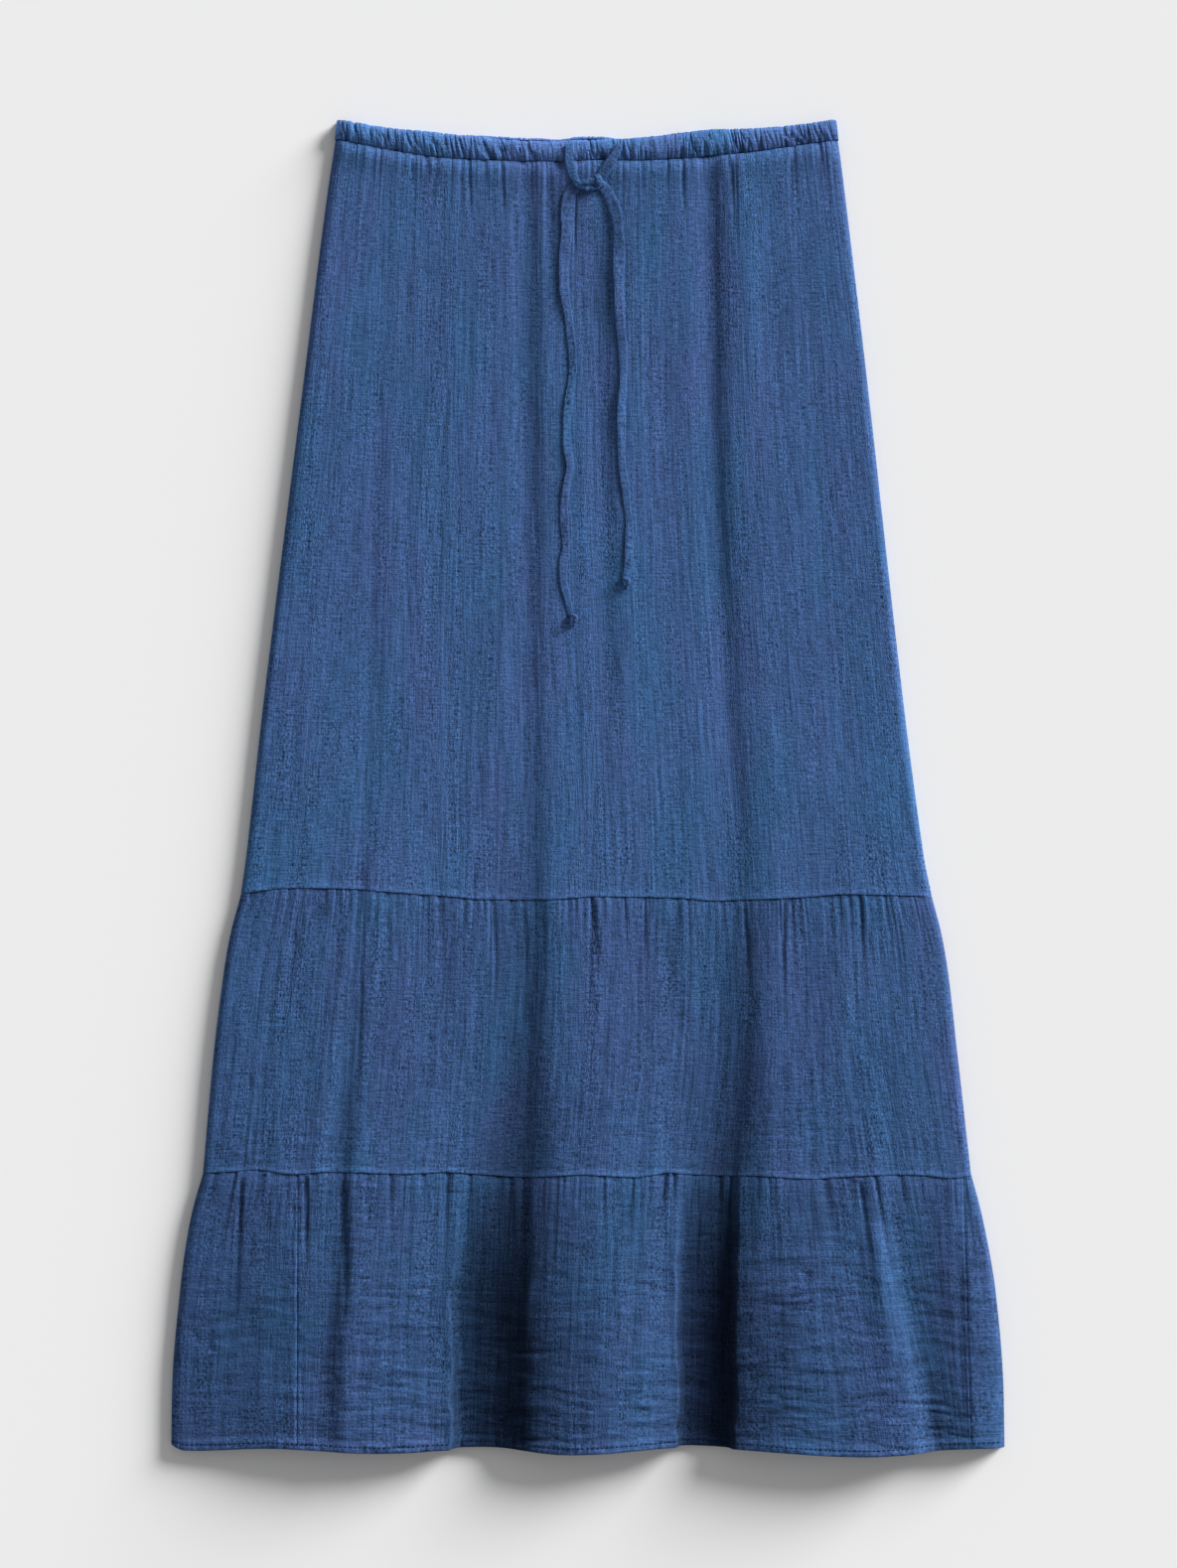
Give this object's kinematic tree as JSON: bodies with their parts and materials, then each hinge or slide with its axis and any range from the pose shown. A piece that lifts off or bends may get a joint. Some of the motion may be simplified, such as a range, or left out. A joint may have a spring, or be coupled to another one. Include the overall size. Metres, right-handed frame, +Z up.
{
  "type": "tiered maxi skirt",
  "caption": "Tiered maxi skirt in crinkled gauze, laid flat with its front up, with an elasticated gathered waist and a knotted drawstring",
  "frame": {"origin": "under the middle of the skirt's box, on the surface it rests on", "axes": "+Y towards the waist, +X to the right as seen from above, +Z up out of the front"},
  "size_m": [0.5878, 0.9399, 0.0246],
  "materials": {
    "band_gauze": "matte crinkled cotton, gathered over elastic",
    "upper_gauze": "matte crinkled double gauze",
    "middle_gauze": "matte crinkled double gauze",
    "bottom_gauze": "matte crinkled double gauze",
    "tie_gauze": "matte folded gauze strip"
  },
  "bodies": {
    "root": {"waistband_front": "band_gauze", "waistband_back": "band_gauze", "upper_front": "upper_gauze", "upper_back": "upper_gauze", "middle_front": "middle_gauze", "middle_back": "middle_gauze", "bottom_front": "bottom_gauze", "bottom_back": "bottom_gauze", "tie_left_leg": "tie_gauze", "tie_right_leg": "tie_gauze", "tie_left_tail": "tie_gauze", "tie_right_tail": "tie_gauze", "tie_knot": "tie_gauze", "tie_left_tip": "tie_gauze", "tie_right_tip": "tie_gauze"}
  },
  "joints": []
}
